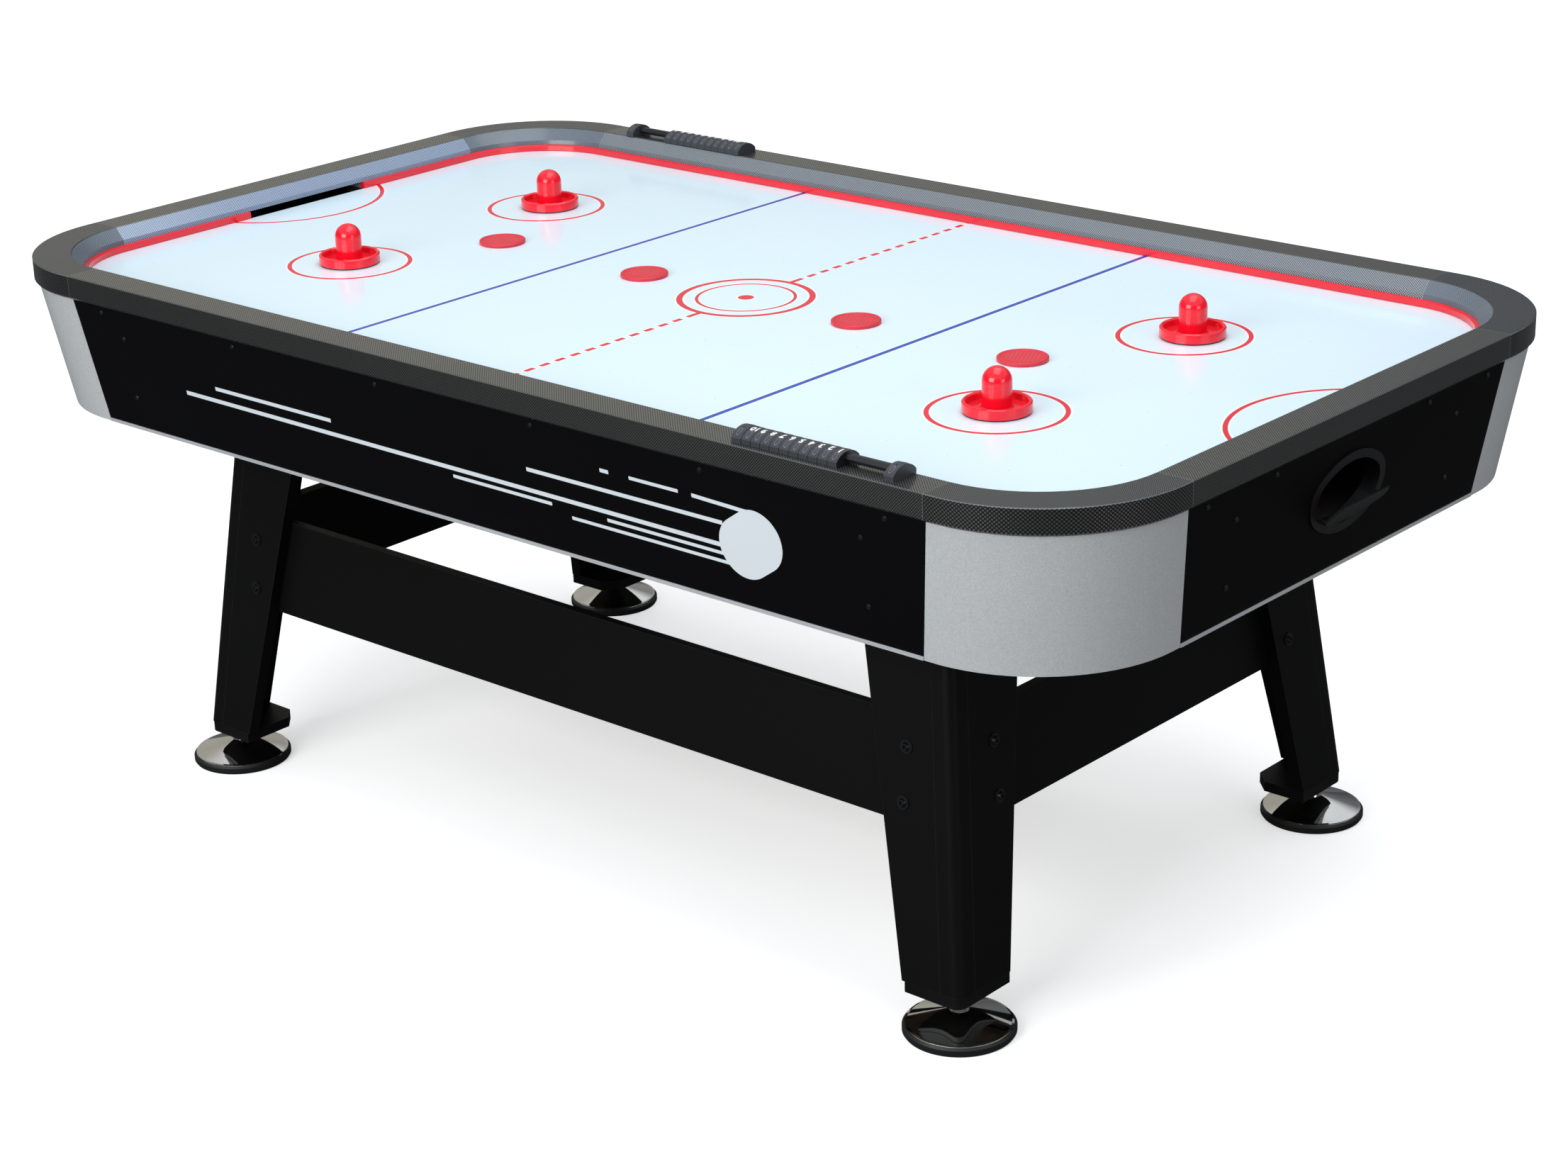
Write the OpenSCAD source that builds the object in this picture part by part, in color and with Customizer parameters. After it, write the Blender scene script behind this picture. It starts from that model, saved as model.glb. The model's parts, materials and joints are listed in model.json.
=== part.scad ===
// Air hockey table, seven-foot class: carbon-wrapped rails, sloping cabinet,
// splayed L-shaped legs with levelling feet, two abacus scorers, blower,
// four mallets and four pucks. All sizes in millimetres, origin on the floor
// under the middle of the table, +X along the table, +Z up.

/* [Table] */
// overall length over the rails
table_l = 2130; // [1800:5:2500]
// overall width over the rails
table_w = 1230; // [1000:5:1400]
// height of the flat rail top above the floor
table_h = 834; // [760:1:900]
// outside radius of the rail corners in plan
corner_r = 215; // [120:1:300]
// straight stub on each end of a corner piece
corner_stub = 17; // [5:1:40]

/* [Rails] */
// rail height, playing surface to rail top
rail_h = 36.5; // [28:0.5:50]
// rail width, outer face to the cushion
rail_w = 77; // [60:1:100]
// width of the flat top of the rail
rail_flat = 52.8; // [30:0.1:60]
// height of the red cushion strip
cushion_h = 10; // [6:0.5:14]
// depth of the cushion strip
cushion_d = 10.7; // [6:0.1:14]

/* [Playing surface] */
// board thickness
field_t = 12; // [6:1:20]
// pitch of the air holes cut through the board
hole_pitch = 100; // [50:5:200]
// diameter of one air hole
hole_d = 1.6; // [1:0.1:3]
// width of the goal slot
goal_w = 252; // [200:1:320]
// height of the goal slot
goal_h = 9.2; // [7:0.1:14]

/* [Cabinet] */
// height of the lower edge of the side panels above the floor
panel_z = 601.5; // [540:0.5:660]
// how far a panel's top edge sits in from the rail's outer face
panel_in = 6; // [0:0.5:12]
// how much further in its lower edge sits
panel_slope = 27.5; // [0:0.5:60]
// panel thickness
panel_t = 16; // [9:1:22]
// corner shell thickness
shell_t = 5; // [3:0.5:9]
// underside of the bottom board above the floor
base_z = 612; // [605:1:640]
// bottom board thickness
base_t = 9; // [6:1:15]

/* [Legs] */
// corner line of a leg at floor level, along the table
leg_x = 781.4; // [650:0.1:850]
// corner line of a leg at floor level, across the table
leg_y = 482.8; // [380:0.1:540]
// splay of the legs outward, degrees in each direction
leg_lean = 6.53; // [0:0.01:12]
// thickness of the leg boards
leg_t = 20; // [12:1:25]
// width of a long-side leg face at its foot
front_w_low = 98; // [80:1:140]
// width of a long-side leg face at the top
front_w_high = 156; // [100:1:200]
// width of an end-side leg face at its foot
side_w_low = 110; // [80:1:140]
// width of an end-side leg face at the top
side_w_high = 152; // [100:1:200]
// face width of the corner post
post_w = 33; // [20:1:50]
// outside rounding of the corner post
post_r = 16; // [4:1:16]
// lower end of the leg boards above the floor
leg_z = 68; // [50:1:100]
// end cap thickness
cap_t = 16; // [8:1:25]

/* [Stretchers] */
// lower edge of the stretchers above the floor
brace_z = 280; // [150:1:400]
// stretcher height
brace_h = 150; // [80:1:220]
// stretcher thickness
brace_t = 18; // [12:1:25]
// bolt positions along the long stretchers
bolt_x = 658; // [600:1:700]
// bolt positions along the short stretchers
bolt_y = 351; // [300:1:380]
// vertical distance between the two bolts of a joint
bolt_gap = 78; // [40:1:110]

/* [Levelling feet] */
// foot centre along the table
foot_x = 743; // [600:1:800]
// foot centre across the table
foot_y = 437; // [300:1:500]
// radius of the rubber ring
foot_r = 78; // [40:1:90]
// height of the rubber ring
foot_ring_h = 14; // [8:1:20]
// stud radius
stud_r = 6; // [4:0.5:8]

/* [Scorers] */
// start of the scorer's fixed end along the rail
scorer_x = 516.2; // [300:0.1:600]
// centre line of a scorer across the table
scorer_y = 583; // [560:0.5:590]
// bead pitch
bead_pitch = 15.8; // [10:0.1:20]
// bead width across the rod
bead_w = 44; // [30:1:50]
// bead height
bead_h = 17; // [12:0.5:24]
// free length of rod for the beads to slide along
rod_free = 74; // [40:0.1:120]
// bracket length
bracket_l = 15.6; // [10:0.1:30]

/* [Mallets and pucks] */
// mallet radius
mallet_r = 47.6; // [35:0.1:55]
// mallet height
mallet_h = 63; // [50:1:80]
// knob radius
knob_r = 20.5; // [15:0.5:25]
// mallet position along the table
mallet_x = 640.4; // [400:0.1:800]
// mallet position across the table
mallet_y = 217.8; // [100:0.1:350]
// puck radius
puck_r = 36.8; // [25:0.1:45]
// puck thickness
puck_h = 5.6; // [4:0.1:8]

/* [Blower] */
// impeller radius
fan_r = 85; // [60:1:100]
// intake radius in the bottom board
intake_r = 60; // [40:1:80]

/* [Hidden] */
$fn = 96;

half_l = table_l / 2;
half_w = table_w / 2;
field_z = table_h - rail_h;
seam = corner_r + corner_stub;
gap = 0.1;
// clearance under a screw head or washer
seat_gap = 0.06;
// visible groove between a leg board and its corner post
leg_groove = 0.5;

panel_h = field_z - panel_z;
lean_k = panel_slope / panel_h;
panel_lean = atan(lean_k);
end_face = half_l - panel_in;
side_face = half_w - panel_in;

leg_k = tan(leg_lean);
brace_mid = brace_z + brace_h / 2;
bolt_zs = [brace_mid - bolt_gap / 2, brace_mid + bolt_gap / 2];

cup_z = 711;
cup_a = 89;
cup_b = 56.5;
cup_end_r = 42;
cup_c = cup_a - cup_end_r;
cup_reach = 31;
cup_rim = 10;

switch_x = -560;
switch_z = 715;

carbon = [0.20, 0.20, 0.19];
red = [0.88, 0.10, 0.18];
black = [0.05, 0.05, 0.055];
silver = [0.67, 0.70, 0.71];
timber = [0.72, 0.60, 0.44];
plastic = [0.12, 0.12, 0.13];
chrome = [0.80, 0.80, 0.82];

// ---- helpers ----

// copies its children into all four corners of the table
module four_corners()
  for (mx = [0, 1])
    for (my = [0, 1])
      mirror([mx, 0, 0])
        mirror([0, my, 0])
          children();

module both_ends()
  for (m = [0, 1])
    mirror([m, 0, 0])
      children();

module both_sides()
  for (m = [0, 1])
    mirror([0, m, 0])
      children();

// extrudes a section drawn as (y, z) along x, centred on x = 0
module along_x(length)
  translate([-length / 2, 0, 0])
    rotate([90, 0, 90])
      linear_extrude(length)
        children();

// extrudes a section drawn as (x, z) along y, centred on y = 0
module along_y(length)
  translate([0, length / 2, 0])
    rotate([90, 0, 0])
      linear_extrude(length)
        children();

module rounded_rect(half_x, half_y, r) {
  square([2 * half_x, 2 * (half_y - r)], center = true);
  square([2 * (half_x - r), 2 * half_y], center = true);
  for (sx = [-1, 1])
    for (sy = [-1, 1])
      translate([sx * (half_x - r), sy * (half_y - r)])
        circle(r);
}

// frame on the outer face of an end panel at height z: +X out of the face
module on_end_panel(y, z)
  translate([end_face - (field_z - z) * lean_k, y, z])
    rotate([0, panel_lean, 0])
      children();

// frame on the outer face of a side panel at height z: +Y out of the face
module on_side_panel(x, z)
  translate([x, side_face - (field_z - z) * lean_k, z])
    rotate([-panel_lean, 0, 0])
      children();

// frame on the outer face of a leg's long-side board
module on_leg_front(x, z)
  translate([x, leg_y - leg_k * z, z])
    rotate([leg_lean, 0, 0])
      children();

// frame on the outer face of a leg's end-side board
module on_leg_side(y, z)
  translate([leg_x - leg_k * z, y, z])
    rotate([0, -leg_lean, 0])
      children();

module level_slab(z_low, z_high)
  translate([-half_l, -half_w, z_low])
    cube([table_l, table_w, z_high - z_low]);

// ---- playing surface and rails ----

module playfield() color([0.88, 0.95, 0.99])
  translate([0, 0, field_z - field_t])
    linear_extrude(field_t)
      difference() {
        rounded_rect(half_l - 26, half_w - 26, corner_r - 26);
        both_ends()
          translate([half_l - rail_w + 2, -goal_w / 2 - 4])
            square([rail_w, goal_w + 8]);
        air_holes();
      }

module air_holes() {
  nx = floor((half_l - rail_w - 40) / hole_pitch);
  ny = floor((half_w - rail_w - 40) / hole_pitch);
  for (i = [-nx : nx])
    for (j = [-ny : ny])
      translate([i * hole_pitch, j * hole_pitch])
        circle(d = hole_d, $fn = 24);
}

// rail section: distance in from the outer face, height above the field
rail_pts = [
  [0, 3],
  [0, rail_h - 1.5],
  [1.5, rail_h],
  [rail_flat, rail_h],
  [rail_flat + 17, rail_h - 18.5],
  [rail_w - 5.7, cushion_h + 1],
  [rail_w - cushion_d - 0.3, cushion_h + 1],
  [rail_w - cushion_d - 0.3, 0],
  [3, 0]
];

cushion_pts = [
  [rail_w - cushion_d, gap],
  [rail_w - cushion_d, cushion_h + 1 - gap],
  [rail_w - 1, cushion_h + 1 - gap],
  [rail_w, cushion_h - 1],
  [rail_w, 1],
  [rail_w - 1, gap]
];

// outside of a rail corner, filled in to its centre
module corner_block() {
  section = [
    [0, 0],
    [corner_r - 3, 0],
    [corner_r, 3],
    [corner_r, rail_h - 1.5],
    [corner_r - 1.5, rail_h],
    [0, rail_h]
  ];
  translate([half_l - corner_r, half_w - corner_r, field_z]) {
    rotate_extrude(angle = 90)
      polygon(section);
    rotate([90, 0, 0])
      linear_extrude(corner_stub)
        polygon(section);
    rotate([90, 0, -90])
      linear_extrude(corner_stub)
        mirror([1, 0])
          polygon(section);
  }
}

// quarter turn of a section about the point where the straight rails end
module inside_corner(pts) {
  section = [for (p = pts) [seam - p[0], p[1]]];
  translate([half_l - seam, half_w - seam, field_z])
    rotate_extrude(angle = 90)
      polygon(section);
}

// open space inside a rail corner, run on past both ends
module corner_space() {
  pts = [
    [rail_flat, rail_h + 1],
    [rail_flat, rail_h],
    [rail_flat + 17, rail_h - 18.5],
    [rail_w - 5.7, cushion_h + 1],
    [rail_w - cushion_d - 0.3, cushion_h + 1],
    [rail_w - cushion_d - 0.3, -1],
    [seam, -1],
    [seam, rail_h + 1]
  ];
  section = [for (p = pts) [seam - p[0], p[1]]];
  inside_corner(pts);
  translate([half_l - seam, half_w - seam, field_z]) {
    rotate([90, 0, 0])
      linear_extrude(2)
        polygon(section);
    rotate([90, 0, -90])
      linear_extrude(2)
        mirror([1, 0])
          polygon(section);
  }
}

module straight_side(pts)
  translate([0, -half_w, field_z])
    along_x(table_l - 2 * seam - 2 * gap)
      polygon(pts);

module straight_end(pts, length)
  translate([-half_l, 0, field_z])
    along_y(length)
      polygon(pts);

module side_rails() color(carbon)
  both_sides()
    straight_side(rail_pts);

module end_rails() color(carbon)
  both_ends()
    difference() {
      straight_end(rail_pts, table_w - 2 * seam - 2 * gap);
      translate([-half_l + 22, -goal_w / 2, field_z - 1])
        cube([rail_w, goal_w, goal_h + 1]);
    }

module rail_corners() color(carbon)
  four_corners()
    difference() {
      corner_block();
      corner_space();
    }

module cushion_strips() color(red) {
  end_piece = (table_w - 2 * seam - 2 * gap - goal_w) / 2;
  both_sides()
    straight_side(cushion_pts);
  four_corners()
    inside_corner(cushion_pts);
  four_corners()
    translate([0, (goal_w + end_piece) / 2, 0])
      straight_end(cushion_pts, end_piece);
}

// ---- cabinet ----

// sloping panel section, measured from the centre plane, face at the top
module panel_section(face)
  polygon([
    [face, field_z - gap],
    [face - panel_slope, panel_z],
    [face - panel_slope - panel_t, panel_z],
    [face - panel_t, field_z - gap]
  ]);

// the slanting joint lines between panels and corner shells
module panel_outline(half_top)
  polygon([
    [half_top - gap, field_z],
    [half_top - gap - panel_slope * (field_z - 560) / panel_h, 560],
    [-half_top + gap + panel_slope * (field_z - 560) / panel_h, 560],
    [-half_top + gap, field_z]
  ]);

module trim_section(face) {
  low = face - panel_slope;
  lip = 4 * lean_k;
  polygon([
    [low + 1.4 + lip, panel_z + 4],
    [low + gap + lip, panel_z + 4],
    [low + gap, panel_z - gap],
    [low - panel_t - gap, panel_z - gap],
    [low - panel_t - gap + lip, panel_z + 4],
    [low - panel_t - 1.4 + lip, panel_z + 4],
    [low - panel_t - 1.4, panel_z - 1.5],
    [low + 1.4, panel_z - 1.5]
  ]);
}

module side_limits()
  along_y(table_w)
    panel_outline(half_l - seam);

module end_limits()
  along_x(table_l)
    panel_outline(half_w - seam);

side_screws = [
  [154, field_z - 12], [461, field_z - 12], [767, field_z - 12],
  [724, 750], [724, 654]
];
end_screws = [
  [185, field_z - 12], [339, field_z - 12], [267, 748], [267, 654]
];

module side_panels() color(black)
  difference() {
    both_sides()
      intersection() {
        along_x(table_l)
          panel_section(side_face);
        side_limits();
      }
    four_corners()
      for (p = side_screws)
        on_side_panel(p[0], p[1])
          screw_hole([90, 0, 0]);
    on_side_panel(switch_x, switch_z)
      translate([-24, -panel_t - 2, -15])
        cube([48, panel_t + 4, 30]);
  }

module end_panels() color(black)
  difference() {
    both_ends()
      intersection() {
        along_y(table_w)
          panel_section(end_face);
        end_limits();
      }
    four_corners()
      for (p = end_screws)
        on_end_panel(p[0], p[1])
          screw_hole([0, 90, 0]);
    both_ends()
      on_end_panel(0, cup_z)
        oval_prism(cup_rim - 0.5, -panel_t - 4, 4);
  }

module screw_hole(turn)
  rotate(turn)
    cylinder(r = 1.9, h = 60, center = true, $fn = 32);

module bottom_trims() color(silver) {
  both_sides()
    intersection() {
      along_x(table_l)
        trim_section(side_face);
      side_limits();
    }
  both_ends()
    intersection() {
      along_y(table_w)
        trim_section(end_face);
      end_limits();
    }
}

// quarter shell in plan, drawn at the level of the playing surface
module shell_plan() {
  r = corner_r - panel_in;
  translate([half_l - corner_r, half_w - corner_r]) {
    intersection() {
      difference() {
        circle(r);
        circle(r - shell_t);
      }
      square(r + 1);
    }
    translate([r - shell_t, -corner_stub + gap])
      square([shell_t, corner_stub]);
    translate([-corner_stub + gap, r - shell_t])
      square([corner_stub, shell_t]);
  }
}

// the shell keeps its plan shape and shifts inward on the way down
module corner_shells() color(silver)
  four_corners()
    multmatrix([
      [1, 0, lean_k, -lean_k * field_z],
      [0, 1, lean_k, -lean_k * field_z],
      [0, 0, 1, 0],
      [0, 0, 0, 1]
    ])
      translate([0, 0, panel_z - 1.5])
        linear_extrude(panel_h + 1.5 - gap)
          shell_plan();

// ---- inside the cabinet ----

wall_x = 905;
wall_y = 540;
wall_t = 18;
rib_h = 70;
deck_z = field_z - field_t;
base_top = base_z + base_t;

module plenum_frame() color(timber) {
  wall_h = deck_z - base_top;
  both_sides()
    translate([-wall_x, wall_y, base_top])
      cube([2 * wall_x, wall_t, wall_h]);
  both_ends()
    translate([wall_x - wall_t, -wall_y + gap, base_top])
      cube([wall_t, 2 * wall_y - 2 * gap, wall_h]);
  for (x = [-620, -310, 310, 620])
    translate([x - wall_t / 2, -wall_y + gap, deck_z - rib_h])
      cube([wall_t, 2 * wall_y - 2 * gap, rib_h]);
  four_corners()
    difference() {
      translate([628, 328, base_top])
        cube([44, 44, 60]);
      translate([650, 350, base_top - 1])
        cylinder(r = 4.2, h = 40, $fn = 32);
    }
}

module bottom_board() color([0.16, 0.14, 0.12])
  translate([0, 0, base_z])
    linear_extrude(base_t)
      difference() {
        rounded_rect(1008, 558, 190);
        circle(intake_r);
        four_corners()
          translate([650, 350])
            circle(4.2, $fn = 32);
      }

// oval of four tangent arcs, offset inward by inset
module oval(inset) {
  side_r = (cup_c * cup_c + cup_b * cup_b - cup_end_r * cup_end_r) / (2 * (cup_b - cup_end_r));
  tangent_x = cup_c * side_r / (side_r - cup_end_r);
  for (s = [-1, 1])
    translate([s * cup_c, 0])
      circle(cup_end_r - inset);
  intersection() {
    translate([0, cup_b - side_r])
      circle(side_r - inset);
    translate([0, side_r - cup_b])
      circle(side_r - inset);
    square([2 * tangent_x - inset, 2 * cup_b], center = true);
  }
}

// oval prism standing on the outer face of an end panel
module oval_prism(inset, from, to)
  translate([from, 0, 0])
    rotate([90, 0, 90])
      linear_extrude(to - from)
        oval(inset);

// wedge below the lip of a puck cup, as deep as reach at the lip
module cup_wedge(reach, drop, lip)
  along_y(2 * cup_a)
    polygon([
      [-panel_t - 6, lip],
      [reach, lip],
      [0, -drop],
      [-panel_t - 6, -drop]
    ]);

module goal_boxes() color(timber)
  both_ends() {
    difference() {
      along_y(goal_w + 20)
        polygon([
          [952, deck_z - gap],
          [952, 650],
          [1014, 642],
          [1026, deck_z - gap]
        ]);
      along_y(goal_w + 8)
        polygon([
          [958, deck_z - 6],
          [958, 672],
          [1040, 658],
          [1040, deck_z + 2],
          [990, deck_z + 2],
          [990, deck_z - 6]
        ]);
    }
  }

module puck_cups() color(plastic)
  both_ends()
    on_end_panel(0, cup_z) {
      difference() {
        union() {
          oval_prism(0, gap, 3);
          oval_prism(cup_rim, -panel_t - 4, 3);
        }
        oval_prism(cup_rim + 2.5, -panel_t - 6, 4);
      }
      difference() {
        intersection() {
          oval_prism(cup_rim + 0.5, 1, 60);
          cup_wedge(cup_reach, cup_b - cup_rim, 0);
          lip_limit();
        }
        intersection() {
          oval_prism(cup_rim + 2.5, -1, 60);
          cup_wedge(cup_reach - 2.6, cup_b - cup_rim - 4, 1);
        }
      }
    }

// keeps the lip's outer corners rounded in plan
module lip_limit()
  translate([0, 0, -cup_b])
    linear_extrude(2 * cup_b)
      rounded_rect(cup_reach, cup_a - cup_rim - 8, 22);

// ---- legs ----

module leg_front_outline(z_low, z_high) {
  low = leg_x - leg_k * z_low;
  high = leg_x - leg_k * z_high;
  rise = z_high / cos(leg_lean);
  foot = z_low / cos(leg_lean);
  polygon([
    [low - post_w - leg_groove, foot],
    [high - post_w - leg_groove, rise],
    [high - front_w_high, rise],
    [low - front_w_low, foot]
  ]);
}

module leg_side_outline(z_low, z_high) {
  low = leg_y - leg_k * z_low;
  high = leg_y - leg_k * z_high;
  rise = z_high / cos(leg_lean);
  foot = z_low / cos(leg_lean);
  polygon([
    [low - post_w - leg_groove, foot],
    [high - post_w - leg_groove, rise],
    [high - side_w_high, rise],
    [low - side_w_low, foot]
  ]);
}

module leg_boards() color(black)
  four_corners()
    intersection() {
      difference() {
        union() {
          on_leg_front(0, 0)
            rotate([90, 0, 0])
              linear_extrude(leg_t)
                leg_front_outline(leg_z - 10, base_z + 10);
          on_leg_side(0, 0)
            rotate([90, 0, 90])
              translate([0, 0, -leg_t])
                linear_extrude(leg_t)
                  leg_side_outline(leg_z - 10, base_z + 10);
        }
        leg_bolt_holes();
      }
      level_slab(leg_z, base_z - gap);
    }

module leg_bolt_holes()
  for (z = bolt_zs) {
    on_leg_front(bolt_x, z)
      rotate([90, 0, 0])
        cylinder(r = 4.2, h = 120, center = true, $fn = 32);
    on_leg_side(bolt_y, z)
      rotate([0, 90, 0])
        cylinder(r = 4.2, h = 120, center = true, $fn = 32);
  }

// L-shaped corner post in plan at floor level, outer corner rounded
module post_plan()
  difference() {
    union() {
      translate([leg_x - post_w, leg_y - post_w])
        square([post_w - post_r, post_w]);
      translate([leg_x - post_w, leg_y - post_w])
        square([post_w, post_w - post_r]);
      translate([leg_x - post_r, leg_y - post_r])
        circle(post_r);
    }
    translate([leg_x - post_w - 1, leg_y - post_w - 1])
      square([post_w + 1 - leg_t, post_w + 1 - leg_t]);
  }

module leg_corner_posts() color(black)
  four_corners()
    multmatrix([
      [1, 0, -leg_k, 0],
      [0, 1, -leg_k, 0],
      [0, 0, 1, 0],
      [0, 0, 0, 1]
    ])
      translate([0, 0, leg_z])
        linear_extrude(base_z - gap - leg_z)
          post_plan();

// foot plate that carries the leveller, and the block that bolts to the cabinet
module leg_end_blocks() color(plastic)
  four_corners() {
    translate([0, 0, leg_z - cap_t])
      difference() {
        linear_extrude(cap_t - gap)
          cap_plan();
        translate([foot_x, foot_y, -1])
          cylinder(r = stud_r + 0.06, h = cap_t + 2);
      }
    difference() {
      translate([618, 318, base_z - 54])
        cube([70, 70, 54 - gap]);
      translate([650, 350, base_z - 60])
        cylinder(r = 4.2, h = 66, $fn = 32);
    }
  }

module cap_plan() {
  x1 = leg_x - leg_k * leg_z - 0.6;
  y1 = leg_y - leg_k * leg_z - 0.6;
  x0 = x1 - front_w_low + 4;
  y0 = y1 - side_w_low + 0.6;
  difference() {
    union() {
      translate([x0, y0])
        square([x1 - x0 - post_r, y1 - y0]);
      translate([x0, y0])
        square([x1 - x0, y1 - y0 - post_r]);
      translate([x1 - post_r, y1 - post_r])
        circle(post_r);
    }
    translate([x0 - 20, y0 - 20])
      rotate(45)
        square([90, 40], center = true);
  }
}

module long_stretchers() color(black)
  both_sides()
    difference() {
      on_leg_front(0, brace_mid)
        translate([-706, -leg_t - brace_t, -brace_h / 2])
          cube([1412, brace_t - gap, brace_h]);
      both_ends()
        leg_bolt_holes();
    }

module short_stretchers() color(black)
  both_ends()
    difference() {
      on_leg_side(0, brace_mid)
        translate([-leg_t - brace_t, -391, -brace_h / 2])
          cube([brace_t - gap, 782, brace_h]);
      both_sides()
        leg_bolt_holes();
    }

// button-head bolt with washer, +Z out of the board, nut on the far side
module leg_bolt() {
  translate([0, 0, seat_gap]) {
    cylinder(r = 10, h = 1.6, $fn = 48);
    difference() {
      cylinder(r1 = 7.2, r2 = 4.6, h = 5.4, $fn = 48);
      translate([0, 0, 3])
        cylinder(r = 2.6, h = 4, $fn = 6);
    }
  }
  translate([0, 0, -leg_t - brace_t - 8])
    cylinder(r = 4, h = leg_t + brace_t + 9, $fn = 32);
  translate([0, 0, -leg_t - brace_t - 6.6])
    cylinder(r = 7.5, h = 6.5, $fn = 6);
}

module leg_bolts() color([0.10, 0.10, 0.11])
  four_corners()
    for (z = bolt_zs) {
      on_leg_front(bolt_x, z)
        rotate([-90, 0, 0])
          leg_bolt();
      on_leg_side(bolt_y, z)
        rotate([0, 90, 0])
          leg_bolt();
    }

// pan-head screw, +Z out of the panel
module panel_screw() {
  translate([0, 0, seat_gap])
    cylinder(r1 = 4.4, r2 = 3, h = 1.7, $fn = 32);
  translate([0, 0, -13])
    cylinder(r = 1.8, h = 13.5, $fn = 24);
}

module panel_screws() color([0.10, 0.10, 0.11])
  four_corners() {
    for (p = side_screws)
      on_side_panel(p[0], p[1])
        rotate([-90, 0, 0])
          panel_screw();
    for (p = end_screws)
      on_end_panel(p[0], p[1])
        rotate([0, 90, 0])
          panel_screw();
  }

// levelling foot: rubber ring, pressed steel dish, collar and stud
module foot() {
  dish_low = foot_ring_h - 2;
  dish_high = 33;
  color(black)
    rotate_extrude()
      polygon([
        [foot_r - 16, 0],
        [foot_r - 2, 0],
        [foot_r, 3],
        [foot_r, foot_ring_h - 4],
        [foot_r - 3, foot_ring_h - 0.5],
        [foot_r - 5, foot_ring_h - 2.1],
        [foot_r - 16, foot_ring_h - 4.1]
      ]);
  color(chrome) {
    rotate_extrude()
      polygon([
        [foot_r - 5.1, dish_low],
        [foot_r - 4, foot_ring_h + 1],
        [foot_r - 7, foot_ring_h + 1.6],
        [14, dish_high],
        [12, dish_high + 6],
        [stud_r - 1, dish_high + 6],
        [stud_r - 1, dish_high - 4],
        [14, dish_high - 4],
        [foot_r - 16, dish_low - 1.9]
      ]);
    translate([0, 0, dish_high])
      cylinder(r = stud_r, h = 95 - dish_high);
    translate([0, 0, dish_high + 5])
      cylinder(r = 9.5, h = 5, $fn = 6);
  }
}

// ---- scorers ----

module bead_section(w, h) {
  side = 6.5;
  crown = (w * w / 4 + (h - side) * (h - side)) / (2 * (h - side));
  intersection() {
    translate([0, h - crown])
      circle(crown);
    translate([-w / 2, 0])
      square([w, h + 1]);
  }
}

rod_z = 8.4;
rod_r = 6;

module on_scorer()
  translate([scorer_x, -scorer_y, table_h])
    children();

module scorer_prism(x, length)
  translate([x, 0, 0])
    rotate([90, 0, 90])
      linear_extrude(length)
        children();

module rod_section(r)
  translate([0, rod_z])
    circle(r, $fn = 6);

module bead(k)
  on_scorer()
    scorer_prism(bracket_l + 0.4 + (10 - k) * bead_pitch, bead_pitch - 0.2)
      difference() {
        translate([0, 0.2])
          bead_section(bead_w, bead_h - 0.2);
        rod_section(rod_r + 0.08);
      }

module scorer_brackets() color(plastic)
  for (turn = [0, 180])
    rotate(turn)
      on_scorer() {
        span = bracket_l + 10 * bead_pitch + rod_free + 0.6;
        difference() {
          union() {
            scorer_prism(0, bracket_l)
              bead_section(bead_w + 1, bead_h + 0.6);
            scorer_prism(span, bracket_l)
              bead_section(bead_w + 1, bead_h + 0.6);
          }
          scorer_prism(6, span + bracket_l - 12)
            rod_section(rod_r + gap);
        }
      }

module scorer_rods() color([0.09, 0.09, 0.10])
  for (turn = [0, 180])
    rotate(turn)
      on_scorer()
        scorer_prism(6.2, 2 * bracket_l + 10 * bead_pitch + rod_free - 11.8)
          rod_section(rod_r);

module near_bead(k) color(plastic)
  bead(k);

module far_bead(k) color(plastic)
  rotate(180)
    bead(k);

// ---- mallets and pucks ----

module mallet() {
  felt = 1.5;
  wall = 5;
  floor_t = 5;
  knob_mid = mallet_h - knob_r;
  color(black)
    difference() {
      cylinder(r = mallet_r - 1.5, h = felt);
      translate([0, 0, -1])
        cylinder(r = mallet_r - 16, h = felt + 2);
    }
  color(red)
    translate([0, 0, gap / 2])
      difference() {
        union() {
          translate([0, 0, felt])
            rotate_extrude()
              polygon([
                [0, 0],
                [mallet_r - 0.8, 0],
                [mallet_r, 0.8],
                [mallet_r, 13],
                [mallet_r - 1.6, 14.6],
                [mallet_r - wall + 1, 14.6],
                [mallet_r - wall - 0.6, 13],
                [mallet_r - wall - 1.6, floor_t],
                [knob_r + 2, floor_t],
                [knob_r, floor_t + 2],
                [0, floor_t + 2]
              ]);
          cylinder(r = knob_r, h = knob_mid);
          translate([0, 0, knob_mid])
            sphere(knob_r);
        }
        translate([0, 0, -1])
          cylinder(r = knob_r - 3.5, h = knob_mid + 1);
        translate([0, 0, -1])
          cylinder(r = mallet_r, h = felt + 1);
      }
}

module mallet_at(sx, sy, dx = 0, dy = 0)
  translate([sx * mallet_x + dx, sy * mallet_y + dy, field_z + gap])
    mallet();

// puck with raised rims and a recessed middle on both faces
module puck_at(x, y) color(red)
  translate([x, y, field_z + gap])
    rotate_extrude()
      polygon([
        [0, 0.7],
        [puck_r - 5.5, 0.7],
        [puck_r - 4.8, 0],
        [puck_r - 1, 0],
        [puck_r, 1],
        [puck_r, puck_h - 1],
        [puck_r - 1, puck_h],
        [puck_r - 4.8, puck_h],
        [puck_r - 5.5, puck_h - 0.7],
        [0, puck_h - 0.7]
      ]);

// ---- blower and mains parts ----

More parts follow.
